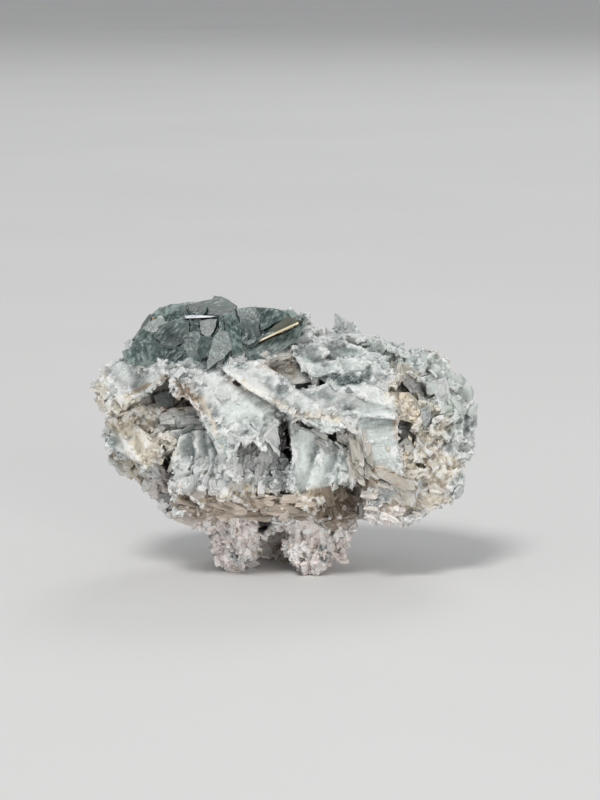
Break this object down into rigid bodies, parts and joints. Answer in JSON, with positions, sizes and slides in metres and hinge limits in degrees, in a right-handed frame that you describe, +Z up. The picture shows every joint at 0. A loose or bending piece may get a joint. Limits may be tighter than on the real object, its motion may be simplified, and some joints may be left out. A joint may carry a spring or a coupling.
{
  "type": "translucent bladed crystal cluster",
  "caption": "Hand-sized cluster of intergrown translucent grey-green bladed crystals with white drusy lobes and open pockets, standing on flats worn under its lobes.",
  "frame": {"origin": "bottom centre of the bounding box, on the surface the cluster stands on", "axes": "+X to the picture's right along the widest extent, -Y towards the camera of the picture, +Z up"},
  "size_m": [0.076, 0.05, 0.0548],
  "materials": {
    "crystal": "glassy blades and sugary white crust"
  },
  "bodies": {
    "root": {"crystal_cluster": "crystal"}
  },
  "joints": []
}
